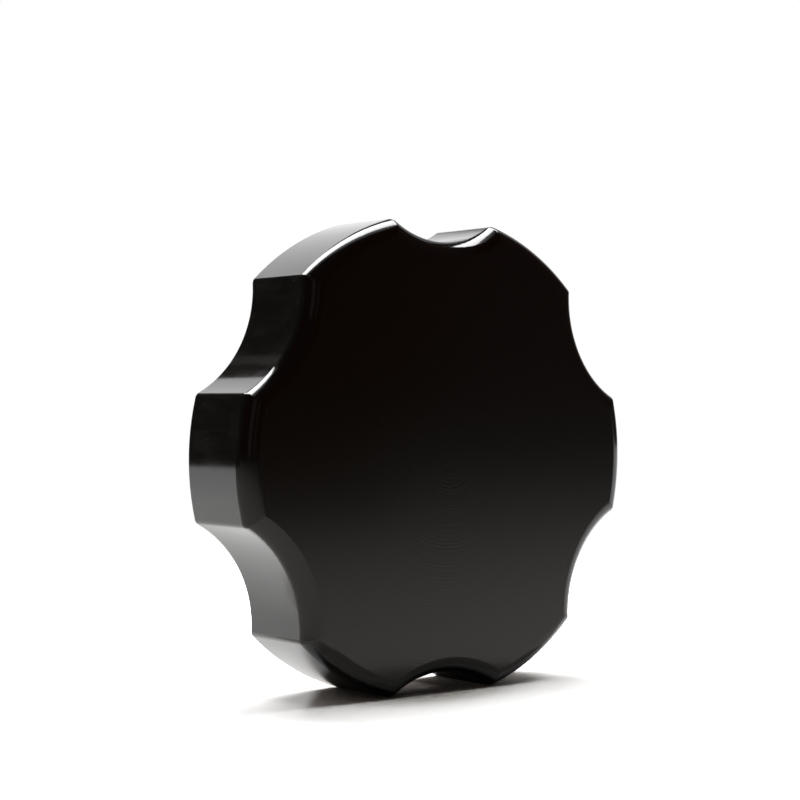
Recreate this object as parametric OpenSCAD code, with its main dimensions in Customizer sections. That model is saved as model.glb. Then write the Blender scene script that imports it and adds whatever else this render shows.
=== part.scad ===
// Screw-on filler cap turned from round bar: a scalloped grip with a rolled front edge,
// a bored and threaded inside, and a rubber ring in a groove in the floor of the bore.
// The cap stands on its rim: its axis lies along Y, the front face looks along -Y,
// and the origin is on the floor below the middle of the cap.

/* [Cap] */
// Diameter over the lobes
cap_d = 63.5; // [60:0.5:76]
// Thickness from the back rim to the front face
cap_h = 13; // [12:0.5:18]
// Radius that rolls the front edge over into the face
front_r = 2.25; // [1:0.25:3]
// Radius of the upright corners between lobes and scallops
corner_r = 1; // [0.5:0.25:1.5]
// Bevel that breaks the sharp back edge
back_bevel = 0.2; // [0.1:0.05:0.4]

/* [Grip] */
// Number of finger scallops around the rim
grip_n = 6; // [5:1:8]
// Radius of each scallop
grip_r = 15; // [12:0.5:18]
// Depth of each scallop below the lobes
grip_depth = 3.7; // [2:0.1:4.5]

/* [Bore] */
// Diameter of the bore, at the root of the neck thread
bore_d = 48; // [40:0.5:50]
// Depth of the bore from the back rim to its floor
bore_depth = 8.5; // [7.5:0.25:9.5]
// Lead-in bevel at the mouth of the bore
mouth_bevel = 1; // [0.5:0.25:1.5]
// Width of the relief groove where the thread ends
relief_w = 2; // [1:0.25:2.5]
// Depth of the relief groove beyond the bore wall
relief_depth = 0.5; // [0.3:0.1:0.8]

/* [Seal] */
// Thickness of the rubber ring
cord_d = 2.65; // [2:0.05:3]
// Depth of the ring's groove in the floor of the bore
groove_depth = 2; // [1.5:0.1:2.5]
// Land between the bore wall and the ring's groove
groove_land = 1.6; // [1:0.1:3]
// Room on each side of the ring in its groove
side_gap = 0.4; // [0.2:0.05:0.6]
// Gap between the ring and the bottom of its groove
seat_gap = 0.05; // [0.02:0.01:0.1]

/* [Hidden] */
$fn = 96;

// How far cutters run past the faces that they cut
over = 1;
cap_r = cap_d / 2;
bore_r = bore_d / 2;
groove_outer_r = bore_r - groove_land;
groove_w = cord_d + 2 * side_gap;
ring_r = groove_outer_r - groove_w / 2;

// Angles of the faint creases that bound the rolled edge and the rounded corners
edge_crease = 3;
corner_crease = 5;
// Height at which the wall starts to roll over into the face
edge_z = cap_h - front_r * cos(edge_crease);

// Distances of a rounded corner's axis from the cap's axis and from the scallop's axis
scallop_at = cap_r - grip_depth + grip_r;
corner_in = corner_r * cos(corner_crease);
corner_at = cap_r - corner_in;
corner_off = grip_r + corner_in;
// Angles that these two distances make with the line between the two axes
corner_a = acos((corner_at ^ 2 + scallop_at ^ 2 - corner_off ^ 2) / (2 * corner_at * scallop_at));
scallop_a = acos((corner_off ^ 2 + scallop_at ^ 2 - corner_at ^ 2) / (2 * corner_off * scallop_at));
// Angle through which the outline turns at a corner
corner_turn = corner_a + scallop_a;
// Height of the cap's axis when it stands on the two corners of its lowest scallop
stand_h = corner_at * cos(corner_a) + corner_r;

// Section of a solid round wall of radius r, from its axis out to the wall. The front edge
// rolls over into the face, and the back bevel runs on below the rim to the axis.
module wall_section(r) {
    polygon([[0, back_bevel - r], [r, back_bevel], [r, edge_z], [0, edge_z]]);
    intersection() {
        translate([r - front_r, edge_z]) circle(front_r);
        square([r, cap_h]);
    }
    if (r > front_r) square([r - front_r, cap_h]);
}

// Section of the cutter for a scallop, which flares to leave the same edges on its wall
module scallop_section() {
    polygon([[0, -over], [grip_r + back_bevel + over, -over], [grip_r, back_bevel],
        [grip_r, edge_z], [0, edge_z]]);
    difference() {
        translate([0, edge_z]) square([grip_r + front_r, cap_h - edge_z + over]);
        translate([grip_r + front_r, edge_z]) circle(front_r);
    }
}

// Places children at each scallop's angle, the first one straight down when the cap stands
module at_scallops() {
    for (k = [0:grip_n - 1]) rotate(k * 360 / grip_n - 90) children();
}

// Places children on the axis of each rounded corner, with +X out through the lobe
module at_corners() {
    at_scallops() for (side = [0, 1]) mirror([0, side, 0])
        rotate(-corner_a) translate([corner_at, 0, 0]) children();
}

// Wedge around a corner's axis that holds the sharp corner to be replaced
module corner_wedge() {
    reach = 3 * corner_r;
    translate([0, 0, -over]) linear_extrude(cap_h + 2 * over)
        polygon([[0, 0], [reach, 0], reach * [cos(corner_turn / 2), sin(corner_turn / 2)],
            reach * [cos(corner_turn), sin(corner_turn)]]);
}

// Outside of the cap: a turned disc, scalloped, with rounded corners
module grip_disc() {
    difference() {
        rotate_extrude() intersection() {
            wall_section(cap_r);
            square([cap_r, cap_h]);
        }
        at_scallops() translate([scallop_at, 0, 0]) rotate_extrude() scallop_section();
        at_corners() difference() {
            corner_wedge();
            rotate_extrude() wall_section(corner_r);
        }
    }
}

// Inside of the cap, from its open back: lead-in, bore, thread relief and ring groove
module bore_cut() {
    rotate_extrude() {
        translate([0, -over]) square([bore_r, bore_depth + over]);
        translate([0, -over]) square([bore_r + mouth_bevel, over]);
        polygon([[0, 0], [bore_r + mouth_bevel, 0], [bore_r, mouth_bevel], [0, mouth_bevel]]);
        translate([0, bore_depth - relief_w]) square([bore_r + relief_depth, relief_w]);
        translate([groove_outer_r - groove_w, bore_depth - over]) square([groove_w, groove_depth + over]);
    }
}

// Turns a shape built front up on its back rim into the standing cap
module standing() {
    translate([0, cap_h / 2, stand_h]) rotate([90, 0, 0]) children();
}

// Cap machined in one piece
module cap_body() {
    color("#171615") standing() difference() {
        grip_disc();
        bore_cut();
    }
}

// Rubber ring that seals on the rim of the reservoir's neck
module sealing_ring() {
    color("#242424") standing() translate([0, 0, bore_depth + groove_depth - seat_gap - cord_d / 2])
        rotate_extrude() translate([ring_r, 0]) circle(cord_d / 2);
}

cap_body();
sealing_ring();
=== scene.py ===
import math

import bpy
from mathutils import Matrix, Vector


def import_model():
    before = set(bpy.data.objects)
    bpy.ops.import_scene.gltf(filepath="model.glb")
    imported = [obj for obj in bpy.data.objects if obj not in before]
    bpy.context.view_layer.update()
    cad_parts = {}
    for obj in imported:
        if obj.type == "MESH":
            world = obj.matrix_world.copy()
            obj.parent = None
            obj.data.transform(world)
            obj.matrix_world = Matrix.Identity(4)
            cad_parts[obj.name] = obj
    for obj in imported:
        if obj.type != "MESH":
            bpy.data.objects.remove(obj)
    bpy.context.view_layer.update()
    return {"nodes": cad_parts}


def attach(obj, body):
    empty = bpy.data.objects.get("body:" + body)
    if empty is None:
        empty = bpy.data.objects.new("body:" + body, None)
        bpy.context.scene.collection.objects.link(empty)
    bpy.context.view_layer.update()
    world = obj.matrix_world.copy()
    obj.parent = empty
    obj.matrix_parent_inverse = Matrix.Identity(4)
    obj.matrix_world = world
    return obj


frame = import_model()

MM = 0.001

# Camera of the photograph, at the cap's height
CAM_AT = (-0.155139, -0.192199, 0.037532)
CAM_TURN = -0.668836
CAM_PITCH = 0.001744
CAM_ROLL = 0.003366
CAM_LENS = 83.93
CAM_SENSOR = 36

# Sizes that the looks share with the part's source
CAP_H = 13 * MM
AXIS_Z = 30.538 * MM
FRONT_Y = -CAP_H / 2
BACK_Y = CAP_H / 2
BORE_R = 24 * MM
MOUTH_BEVEL = 1 * MM
GROOVE_FLOOR_Y = BACK_Y - 10.5 * MM
THREAD_END = 6.5 * MM

# Neck thread: right-handed, 60 degrees. The flats are half widths, in pitches.
PITCH = 2.5 * MM
THREAD_DEPTH = 0.54 * PITCH
ROOT_FLAT = 0.125
CREST_FLAT = 0.0625

# Finish of the anodised body: depth of its marks, and the lathe tool's feed per turn
MARK_DEPTH = 0.0012 * MM
FEED = 0.5 * MM

# Studio: reach of the table and of the dark room, and the overhead soft box
TABLE_HALF = 6.0
ROOM_REACH = 2.5
ROOM_HEIGHT = 4.3
BOX_HEIGHT = 0.7
BOX_GLOW = 8.6
# Height of the reflected cards' lower edges above the table, and degrees from edge to edge
CARD_LIFT = 1 * MM
CARD_STEP = 4

SQUARE = ((-1, -1), (1, -1), (1, 1), (-1, 1))
WHITE = (1, 1, 1, 1)


class Nodes:
    """Short way to add linked shader nodes to one node tree."""

    def __init__(self, tree):
        self.tree = tree
        tree.nodes.clear()

    def add(self, kind, inputs=(), **settings):
        node = self.tree.nodes.new(kind)
        for name, value in settings.items():
            setattr(node, name, value)
        for socket, value in dict(inputs).items():
            if isinstance(value, bpy.types.NodeSocket):
                self.tree.links.new(value, node.inputs[socket])
            else:
                node.inputs[socket].default_value = value
        return node

    def place(self):
        """Position on the object, in metres."""
        return self.add("ShaderNodeTexCoord").outputs["Object"]

    def xyz(self, vector):
        return self.add("ShaderNodeSeparateXYZ", {0: vector}).outputs

    def math(self, operation, value, *others):
        """The operation on one number, or on a number and each of the others in turn."""
        if not others:
            return self.add("ShaderNodeMath", {0: value}, operation=operation).outputs[0]
        for other in others:
            value = self.add("ShaderNodeMath", {0: value, 1: other}, operation=operation).outputs[0]
        return value

    def vector(self, operation, a, b):
        """The operation on two vectors."""
        return self.add("ShaderNodeVectorMath", {0: a, 1: b}, operation=operation).outputs["Vector"]

    def dot(self, a, b):
        inputs = {0: a, 1: b}
        return self.add("ShaderNodeVectorMath", inputs, operation="DOT_PRODUCT").outputs["Value"]

    def length(self, a):
        return self.add("ShaderNodeVectorMath", {0: a}, operation="LENGTH").outputs["Value"]

    def ramp(self, value, low, high, to_low=0.0, to_high=1.0):
        """value taken from low..high to to_low..to_high, smoothly and clamped."""
        inputs = {"Value": value, "From Min": low, "From Max": high, "To Min": to_low}
        inputs["To Max"] = to_high
        node = self.add("ShaderNodeMapRange", inputs, interpolation_type="SMOOTHSTEP")
        return node.outputs[0]

    def mix(self, factor, a, b):
        """Number between a and b."""
        return self.add("ShaderNodeMix", {"Factor": factor, "A": a, "B": b}).outputs[0]

    def blend(self, factor, a, b):
        """Colour between a and b."""
        inputs = {"Factor": factor, "A": a, "B": b}
        return self.add("ShaderNodeMix", inputs, data_type="RGBA").outputs[2]

    def noise(self, scale, detail, vector=None, w=None, rough=0.5):
        """Noise over a vector, or along the one number w. scale is per metre."""
        inputs = {"Scale": scale, "Detail": detail, "Roughness": rough}
        if w is None:
            inputs["Vector"] = vector
            return self.add("ShaderNodeTexNoise", inputs).outputs[0]
        inputs["W"] = w
        return self.add("ShaderNodeTexNoise", inputs, noise_dimensions="1D").outputs[0]

    def bump(self, distance, height):
        inputs = {"Strength": 1.0, "Distance": distance, "Height": height}
        return self.add("ShaderNodeBump", inputs).outputs[0]

    def seen_rays(self):
        """1 for the rays that show the surroundings, and 0 for those that light the object."""
        path = self.add("ShaderNodeLightPath").outputs
        shown = ("Is Camera Ray", "Is Glossy Ray", "Is Transmission Ray")
        return self.math("MAXIMUM", *(path[name] for name in shown))

    def output(self, shader, kind="ShaderNodeOutputMaterial"):
        self.add(kind, {0: shader.outputs[0]})


def new_material(name):
    mat = bpy.data.materials.new(name)
    mat.use_nodes = True
    return mat, Nodes(mat.node_tree)


def set_material(obj, mat):
    if obj.material_slots:
        obj.material_slots[0].material = mat
    else:
        obj.data.materials.append(mat)


def make_mesh(name, verts, faces):
    mesh = bpy.data.meshes.new(name)
    mesh.from_pydata(verts, [], faces)
    mesh.validate()
    for p in mesh.polygons:
        p.use_smooth = True
    obj = bpy.data.objects.new(name, mesh)
    bpy.context.scene.collection.objects.link(obj)
    return obj


def direction(azimuth, elevation):
    """Unit vector: azimuth 0 is +Y and 90 is +X, in degrees, and elevation is above the floor."""
    a, e = math.radians(azimuth), math.radians(elevation)
    return Vector((math.sin(a) * math.cos(e), math.cos(a) * math.cos(e), math.sin(e)))


def faced_flats(n, y, radius):
    """1 on the flats that a lathe faced: the front, the back rim and the inside of the bore."""
    front = n.ramp(y, FRONT_Y + 0.03 * MM, FRONT_Y + 0.01 * MM)
    back = n.ramp(y, BACK_Y - 0.03 * MM, BACK_Y - 0.01 * MM)
    within = n.ramp(radius, BORE_R + 2 * MM, BORE_R + 1.5 * MM)
    above = n.ramp(y, GROOVE_FLOOR_Y + 0.1 * MM, GROOVE_FLOOR_Y + 0.2 * MM)
    return n.math("MAXIMUM", front, back, n.math("MULTIPLY", within, above))


def anodised_finish(n, place, y, radius, faced):
    """Normal, roughness and specular level of the walls and of the faced flats."""
    # Concentric turning marks on the flats, with the tool's feed showing as even rings
    feed = n.math("SINE", n.math("MULTIPLY", radius, 2 * math.pi / FEED))
    marks = n.noise(3700.0, 1.0, w=radius)
    broad = n.noise(700.0, 1.0, w=radius)
    turned = n.math("MULTIPLY", n.math("ADD", marks, broad), 2.2)
    turned = n.math("ADD", turned, n.math("MULTIPLY", feed, 0.28))
    # Fine tool lines that run round the walls, and the soft waviness of a milled wall
    lines = n.noise(4500.0, 2.0, w=y, rough=0.6)
    wave = n.noise(420.0, 1.5, vector=place)
    milled = n.math("ADD", n.math("MULTIPLY", lines, 0.2), n.math("MULTIPLY", wave, 1.4))

    normal = n.bump(MARK_DEPTH, n.mix(faced, milled, turned))
    wall_rough = n.ramp(wave, 0.3, 0.7, 0.09, 0.12)
    face_rough = n.ramp(marks, 0.3, 0.7, 0.15, 0.17)
    # The rings catch the light a little more and less in turn
    catch = n.math("MULTIPLY", feed, faced, n.ramp(broad, 0.3, 0.7, 0.012, 0.042))
    return normal, n.mix(faced, wall_rough, face_rough), n.math("ADD", 0.5, catch)


def anodised_colour(n, place, y, faced):
    """Black, with faint smears on the walls, drawn out along the axis, and a few grains of dust."""
    drawn = n.vector("MULTIPLY", place, (1, 0.3, 1))
    smear = n.ramp(n.noise(560.0, 4.0, vector=drawn, rough=0.65), 0.4, 0.7)
    behind_edge = n.ramp(y, -5 * MM, -4 * MM)
    smear = n.math("MULTIPLY", smear, behind_edge, n.math("SUBTRACT", 1.0, faced))
    black = n.blend(smear, (0.0005, 0.0004, 0.0003, 1), (0.010, 0.0097, 0.0092, 1))
    cells = n.add("ShaderNodeTexVoronoi", {"Vector": place, "Scale": 190.0, "Randomness": 1.0})
    seed = n.add("ShaderNodeSeparateColor", {0: cells.outputs["Color"]}).outputs[0]
    spot = n.ramp(cells.outputs["Distance"], 0.016, 0.008)
    dust = n.math("MULTIPLY", spot, n.math("GREATER_THAN", seed, 0.8))
    return n.blend(dust, black, (0.09, 0.085, 0.08, 1))


def anodised_material():
    """Gloss black anodising: fine tool lines round the walls, and a satin turned finish on the
    flats."""
    mat, n = new_material("anodised_black")
    place = n.place()
    x, y, z = n.xyz(place)
    up = n.math("SUBTRACT", z, AXIS_Z)
    radius = n.math("SQRT", n.math("ADD", n.math("MULTIPLY", x, x), n.math("MULTIPLY", up, up)))
    faced = faced_flats(n, y, radius)
    normal, rough, specular = anodised_finish(n, place, y, radius, faced)
    inputs = {
        "Base Color": anodised_colour(n, place, y, faced),
        "Roughness": rough,
        "IOR": 1.77,
        "Specular IOR Level": specular,
        "Normal": normal,
    }
    n.output(n.add("ShaderNodeBsdfPrincipled", inputs))
    return mat


def rubber_material():
    """Black nitrile rubber: a soft sheen with a faint moulded grain."""
    mat, n = new_material("black_rubber")
    place = n.place()
    grain = n.noise(2600.0, 3.0, vector=place, rough=0.65)
    cloud = n.noise(160.0, 2.0, vector=place)
    inputs = {
        "Base Color": n.blend(
            n.ramp(cloud, 0.35, 0.7), (0.013, 0.013, 0.013, 1), (0.024, 0.024, 0.025, 1)
        ),
        "Roughness": n.ramp(cloud, 0.3, 0.7, 0.42, 0.55),
        "IOR": 1.52,
        "Normal": n.bump(0.004 * MM, grain),
    }
    n.output(n.add("ShaderNodeBsdfPrincipled", inputs))
    return mat


def thread_radius(depth, turn):
    """Radius of the threaded wall at a depth from the back rim and an angle in turns."""
    phase = (depth / PITCH - turn) % 1.0
    from_root = 0.5 - abs(phase - 0.5)
    rise = (from_root - ROOT_FLAT) / (0.5 - ROOT_FLAT - CREST_FLAT)
    wall = BORE_R - 0.01 * MM - THREAD_DEPTH * min(1.0, max(0.0, rise))
    return max(wall, BORE_R + MOUTH_BEVEL - depth)


def neck_thread():
    """Threaded lining of the bore, cut off by the lead-in bevel and by the relief groove."""
    around, along = 360, 92
    first, last = MOUTH_BEVEL - 0.02 * MM, THREAD_END
    # The back of the lining lies inside the cap's wall
    back_r = BORE_R + 0.08 * MM
    rings = [(back_r, first)]
    rings += [(None, first + (last - first) * k / along) for k in range(along + 1)]
    rings += [(back_r, last)]
    verts, faces = [], []
    for k, (ring_r, depth) in enumerate(rings):
        k2 = (k + 1) % len(rings)
        for j in range(around):
            angle, j2 = 2 * math.pi * j / around, (j + 1) % around
            r = ring_r or thread_radius(depth, j / around)
            verts.append((r * math.cos(angle), BACK_Y - depth, AXIS_Z + r * math.sin(angle)))
            faces.append((k * around + j, k * around + j2, k2 * around + j2, k2 * around + j))
    obj = make_mesh("neck_thread", verts, faces)
    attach(obj, "root")
    return obj


def floor_paint(n, place, away, seen):
    """Colour of the table, above 1 where the photograph's is blown out. The rays that light the
    object find plain paper."""
    x, y = n.xyz(place)[:2]
    path = n.add("ShaderNodeLightPath").outputs
    foot = n.vector("MULTIPLY", n.vector("ADD", place, (3 * MM, 0, 0)), (0.75, 1, 1))
    # Painted contact shade: the table's colour darkens towards the feet, for the camera and the
    # gloss
    painted_contact_shade = n.ramp(n.length(foot), 5 * MM, 16 * MM, 0.3, 1.0)

    # What the camera sees: a grain, and painted light under the arch between the feet
    grain = n.ramp(n.noise(800.0, 4.0, vector=place, rough=0.8), 0.3, 0.7, 1.72, 2.45)
    arch = n.math("ABSOLUTE", n.math("ADD", x, 3 * MM))
    arch = n.math("MULTIPLY", n.ramp(y, -4 * MM, 0.0), n.ramp(arch, 7 * MM, 3 * MM))
    pictured = n.math("MULTIPLY", path["Is Camera Ray"], grain, n.ramp(arch, 0.0, 1.0, 1.0, 4.0))

    # What the gloss mirrors: painted light near the cap, and painted shade in front, where the cap
    # stands over it
    front = n.ramp(y, -10 * MM, 5 * MM, 0.7, 1.0)
    aside = n.ramp(n.math("ABSOLUTE", x), 14 * MM, 40 * MM, 0.55, 1.0)
    aside = n.math("MAXIMUM", aside, n.ramp(y, 3 * MM, 8 * MM))
    close_painted_light = n.ramp(away, 20 * MM, 60 * MM, 1.85, 1.0)
    painted_reflection_tone = n.math("MULTIPLY", path["Is Glossy Ray"], front, aside, close_painted_light)

    tone = n.math("MULTIPLY", painted_contact_shade, n.math("ADD", pictured, painted_reflection_tone))
    tone = n.math("ADD", tone, n.ramp(seen, 0.0, 1.0, 0.95, 0.0))
    # Painted shadow colour: warmer where the painted contact shade is deep
    painted_shadow_tint = n.blend(n.ramp(painted_contact_shade, 0.4, 1.0), (1, 0.96, 0.91, 1), (1, 1, 0.99, 1))
    inputs = {0: painted_shadow_tint, "Scale": tone}
    return n.add("ShaderNodeVectorMath", inputs, operation="SCALE").outputs[0]


def floor():
    """White table top. Far from the cap it shows as plain white, near it it takes the shadow, with
    painted shade and painted light in its colour.
    """
    corners = [(sx * TABLE_HALF, sy * TABLE_HALF, 0) for sx, sy in SQUARE]
    obj = make_mesh("floor", corners, [(0, 1, 2, 3)])
    mat, n = new_material("floor_white")
    place = n.place()
    away = n.length(place)
    seen = n.seen_rays()
    # Plain white takes over far away; in part behind the cap on its left too, as painted light that
    # lifts the shadow there
    left = n.ramp(n.dot(place, (-1, 0.85, 0)), 16 * MM, 19 * MM, 0.0, 0.3)
    plain = n.math("MAXIMUM", n.ramp(away, 60 * MM, 250 * MM), left)
    plain = n.math("MULTIPLY", plain, seen)
    table = n.add("ShaderNodeBsdfDiffuse", {"Color": floor_paint(n, place, away, seen)})
    white = n.add("ShaderNodeEmission", {"Color": WHITE, "Strength": 1.0})
    n.output(n.add("ShaderNodeMixShader", {0: plain, 1: table.outputs[0], 2: white.outputs[0]}))
    set_material(obj, mat)


def world():
    """White surroundings. They light the cap softly, and the floor from low behind it."""
    made = bpy.data.worlds.new("studio")
    bpy.context.scene.world = made
    made.use_nodes = True
    n = Nodes(made.node_tree)
    toward = n.add("ShaderNodeTexCoord").outputs["Generated"]
    behind, above = n.xyz(toward)[1:3]
    low = n.math("MULTIPLY", n.ramp(behind, 0.5, 0.8), n.ramp(above, 0.6, 0.4))
    seen = n.seen_rays()
    inputs = {
        "Color": n.blend(seen, (1, 0.86, 0.8, 1), WHITE),
        "Strength": n.math("MAXIMUM", seen, n.ramp(low, 0.0, 1.0, 0.03, 0.6)),
    }
    n.output(n.add("ShaderNodeBackground", inputs), "ShaderNodeOutputWorld")


def lamp(name, at, facing, along, size, radiance):
    """Soft box of an even radiance. size is along the direction along, and across it."""
    light = bpy.data.lights.new(name, "AREA")
    light.shape = "RECTANGLE"
    light.size, light.size_y = size
    light.energy = radiance * math.pi * size[0] * size[1]
    obj = bpy.data.objects.new(name, light)
    bpy.context.scene.collection.objects.link(obj)
    back = -Vector(facing).normalized()
    side = (Vector(along) - back * back.dot(Vector(along))).normalized()
    turn = Matrix((side, back.cross(side), back)).transposed()
    obj.matrix_world = Matrix.Translation(at) @ turn.to_4x4()
    obj.visible_camera = False
    return obj


def soft_boxes():
    """One box overhead, tilted, and a weak broad one behind and to the right. The gloss shows the
    outline of the overhead box as a painted highlight: the lamp is hidden from the gloss, and a
    glowing card takes its place, with a dim glowing border on its front."""
    centre = Vector((0, 0, AXIS_Z))
    top = centre + BOX_HEIGHT * Vector((0.283, 0.246, 1.0))
    size = (1.30 * BOX_HEIGHT, 0.628 * BOX_HEIGHT)
    box = lamp("soft_box_top", top, (0.4, 0, -1.0), (0.7405, -0.672, 0), size, BOX_GLOW)
    box.visible_glossy = False
    back = direction(21, 20)
    lamp("soft_box_back", centre + 1.2 * back, -back, (1, -0.38, 0), (0.72, 0.84), 0.4)

    # Outlines at the box's height, in shares of that height
    front = ((-0.31, 0.60), (0.12, 0.0), (0.36, -0.20), (0.46, -0.34))
    rest = ((0.72, 0.02), (0.35, 0.64), (0.18, 1.08), (-0.05, 1.17), (-0.20, 1.19))
    border = ((0.38, -0.46), (0.26, -0.34), (0.02, -0.14), (-0.44, 0.54))
    # card_soft_box glows as the box's painted highlight, card_soft_border as a dim painted fringe
    # on its front
    for name, outline, glow in (
        ("card_soft_box", front + rest, BOX_GLOW),
        ("card_soft_border", front + border, 0.45),
    ):
        corners = [centre + BOX_HEIGHT * Vector((x, y, 1)) for x, y in outline]
        flat_card(name, corners, (glow, glow, glow))


def glow_material(name, shade):
    mat, n = new_material(name)
    n.output(n.add("ShaderNodeEmission", {"Color": (*shade, 1), "Strength": 1.0}))
    return mat


def only_reflected(obj, mat):
    set_material(obj, mat)
    obj.visible_camera = obj.visible_diffuse = obj.visible_shadow = False
    obj.visible_transmission = obj.visible_volume_scatter = False


def flat_card(name, corners, shade):
    face = make_mesh(name, corners, [tuple(range(len(corners)))])
    only_reflected(face, glow_material(name, shade))


def round_card(name, start, stop, low, high, shade, distance):
    """Upright curved card from one azimuth to another, and between two elevations from the cap,
    in steps of about CARD_STEP degrees."""
    steps = max(2, int(abs(stop - start) / CARD_STEP))
    verts, faces = [], []
    for k in range(steps + 1):
        at = distance * direction(start + (stop - start) * k / steps, 0)
        for elevation in (low, high):
            up = AXIS_Z + distance * math.tan(math.radians(elevation))
            verts.append((at.x, at.y, max(CARD_LIFT, up)))
        if k:
            faces.append((2 * k - 2, 2 * k, 2 * k + 1, 2 * k - 1))
    only_reflected(make_mesh(name, verts, faces), glow_material(name, shade))


def dark_studio():
    """What the gloss reflects: cards that only the gloss sees paint a dark room on the camera's
    side and on the left, a grey band, faint glows and a streak, and leave a bright opening behind.
    Each row has azimuths, elevations, a colour and a distance."""
    inner = ROOM_REACH - 0.1
    for name, start, stop, low, high, shade, distance in (
        ("card_back_left", -75, 4, -60, 36, (0.037, 0.032, 0.029), 0.47),
        ("card_high_left", -75, 0, 30, 60, (0.03, 0.024, 0.02), ROOM_REACH),
        ("card_left", -180, -70, -60, 60, (0.034, 0.017, 0.014), ROOM_REACH),
        ("card_glow_a", -146, -124, 0, 22, (0.075, 0.058, 0.050), inner),
        ("card_glow_b", -172, -158, 0, 16, (0.055, 0.038, 0.030), inner),
        ("card_front", 141, 180, -60, 60, (0.036, 0.015, 0.005), ROOM_REACH),
        ("card_edge", 144, 172, -60, 1.5, (0.030, 0.016, 0.008), 0.32),
        ("card_right", 75, 141, -60, 60, (0.047, 0.030, 0.025), ROOM_REACH),
        ("card_grey", 37, 76, -60, 40, (0.37, 0.37, 0.37), inner),
        ("card_over", 24, 80, 31, 60, (0.03, 0.03, 0.03), ROOM_REACH),
        ("card_over_left", 0, 24, 36, 60, (0.03, 0.03, 0.03), ROOM_REACH),
        ("card_streak", -14, -8, 25, 36, (0.115, 0.11, 0.105), 0.45),
    ):
        round_card(name, start, stop, low, high, shade, distance)
    corners = [(sx * ROOM_REACH, sy * ROOM_REACH, ROOM_HEIGHT) for sx, sy in SQUARE]
    flat_card("card_ceiling", corners, (0.03, 0.02, 0.018))


def table_glow():
    """Glow of the table as the gloss mirrors it, a painted reflection: painted light that fades out
    round its brightest spot, a painted shadow under the cap, and painted light that rises behind
    and to the left."""
    mat, n = new_material("card_table")
    place = n.place()
    x, y = n.xyz(place)[:2]
    spot = n.vector("ADD", place, (-0.236, -0.049, 0))
    fade = 1.0
    for axis in ((2.72, -2.35, 0), (1.82, 4.82, 0)):
        off = n.dot(spot, axis)
        fade = n.math("ADD", fade, n.math("MULTIPLY", off, off))
    fade = n.math("DIVIDE", 0.86, fade)

    # Painted shadow: the glow is dim inside an ellipse in front of the cap
    under = n.vector("ADD", place, (-1 * MM, 7 * MM, 0))
    shadow = n.length(n.vector("MULTIPLY", under, (43, 62, 0)))
    dim = n.math("ADD", n.ramp(shadow, 0.0, 0.9, 0.2, 0.4), n.ramp(shadow, 0.92, 1.08, 0.0, 0.6))
    fade = n.math("MULTIPLY", fade, dim)

    # Painted light: the glow rises behind and to the left of the cap, near it
    aside = n.math("MULTIPLY", n.math("ABSOLUTE", n.math("ADD", x, 30 * MM)), 0.8)
    rise = n.ramp(n.math("SUBTRACT", y, aside), 0.0, 22 * MM, 0.0, 0.55)
    near = n.ramp(n.length(place), 80 * MM, 160 * MM, 1.0, 0.0)
    fade = n.math("ADD", fade, n.math("MULTIPLY", rise, near))
    n.output(n.add("ShaderNodeEmission", {"Color": (1.0, 0.945, 0.90, 1), "Strength": fade}))
    return mat


def table_card():
    """A glowing card, seen only in the gloss, that paints the reflection of the part of the table
    which the front and the left walls mirror, open behind the cap.
    """

    def at(x, y):
        return Vector((x * MM, y * MM, CARD_LIFT))

    far = 3.3
    left, right = at(-60, 45), at(30, -8)
    points = [at(-26, 6), at(-30, 19), at(-40, 23.5), left, left + far * direction(-39, 0)]
    points += [at(0, 0) + far * direction(a, 0) for a in range(-60, -221, -20)]
    points += [right + far * direction(122, 0), right, at(24, -7.5), at(-24, -7.5)]
    only_reflected(make_mesh("card_table", points, [tuple(range(len(points)))]), table_glow())


def camera():
    data = bpy.data.cameras.new("camera")
    data.lens = CAM_LENS
    data.sensor_width = CAM_SENSOR
    obj = bpy.data.objects.new("camera", data)
    bpy.context.scene.collection.objects.link(obj)
    aim = Matrix.Rotation(CAM_TURN, 4, "Z") @ Matrix.Rotation(math.pi / 2 + CAM_PITCH, 4, "X")
    obj.matrix_world = Matrix.Translation(CAM_AT) @ aim @ Matrix.Rotation(CAM_ROLL, 4, "Z")
    bpy.context.scene.camera = obj


camera()
bpy.context.scene.view_settings.view_transform = "Standard"
body_mat = anodised_material()
set_material(frame["nodes"]["cap_body"], body_mat)
set_material(frame["nodes"]["sealing_ring"], rubber_material())
set_material(neck_thread(), body_mat)
floor()
world()
soft_boxes()
dark_studio()
table_card()
